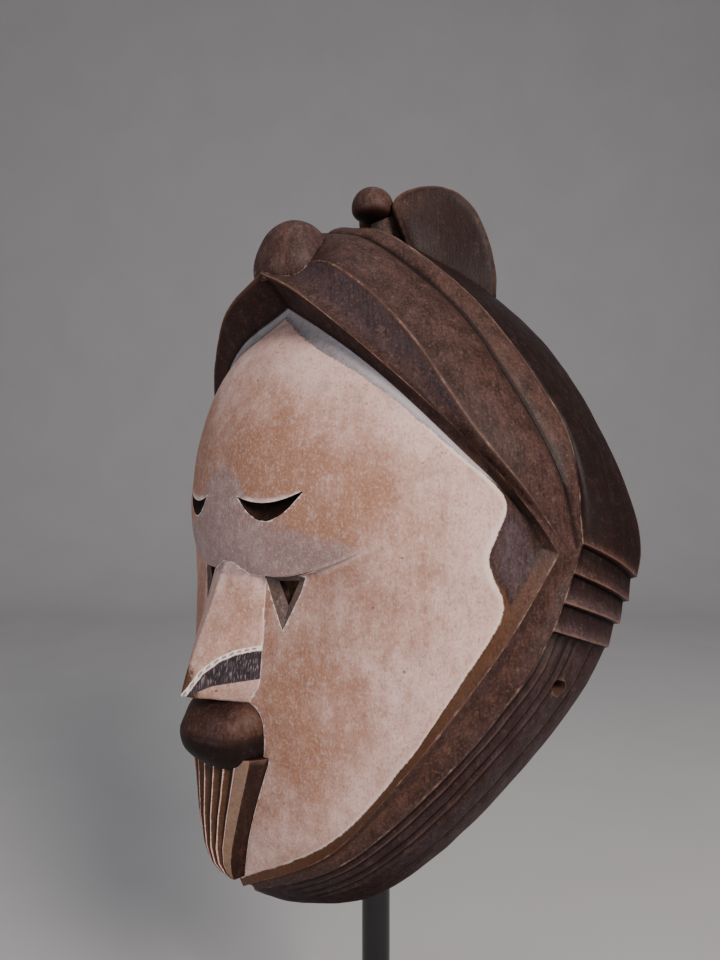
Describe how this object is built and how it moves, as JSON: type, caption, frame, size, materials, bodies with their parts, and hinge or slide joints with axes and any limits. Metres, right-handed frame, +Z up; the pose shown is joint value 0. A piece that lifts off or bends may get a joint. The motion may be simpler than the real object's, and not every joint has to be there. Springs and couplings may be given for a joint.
{
  "type": "carved wooden face mask",
  "caption": "Carved wooden face mask with a whitened face, a banded headdress with a winged crest, and a fluted jaw band, upright on a plain steel rod stand.",
  "frame": {"origin": "on the underside of the stand's base, under the axis of its rod", "axes": "+Z up, -Y the way the face looks, +X to the mask's left"},
  "size_m": [0.2034, 0.1615, 0.4128],
  "materials": {
    "wood": "hand-carved, whitened face, dark stained headdress and jaw band, worn",
    "steel": "gloss black paint"
  },
  "bodies": {
    "root": {"mask": "wood", "stand_rod": "steel", "stand_base": "steel"}
  },
  "joints": []
}
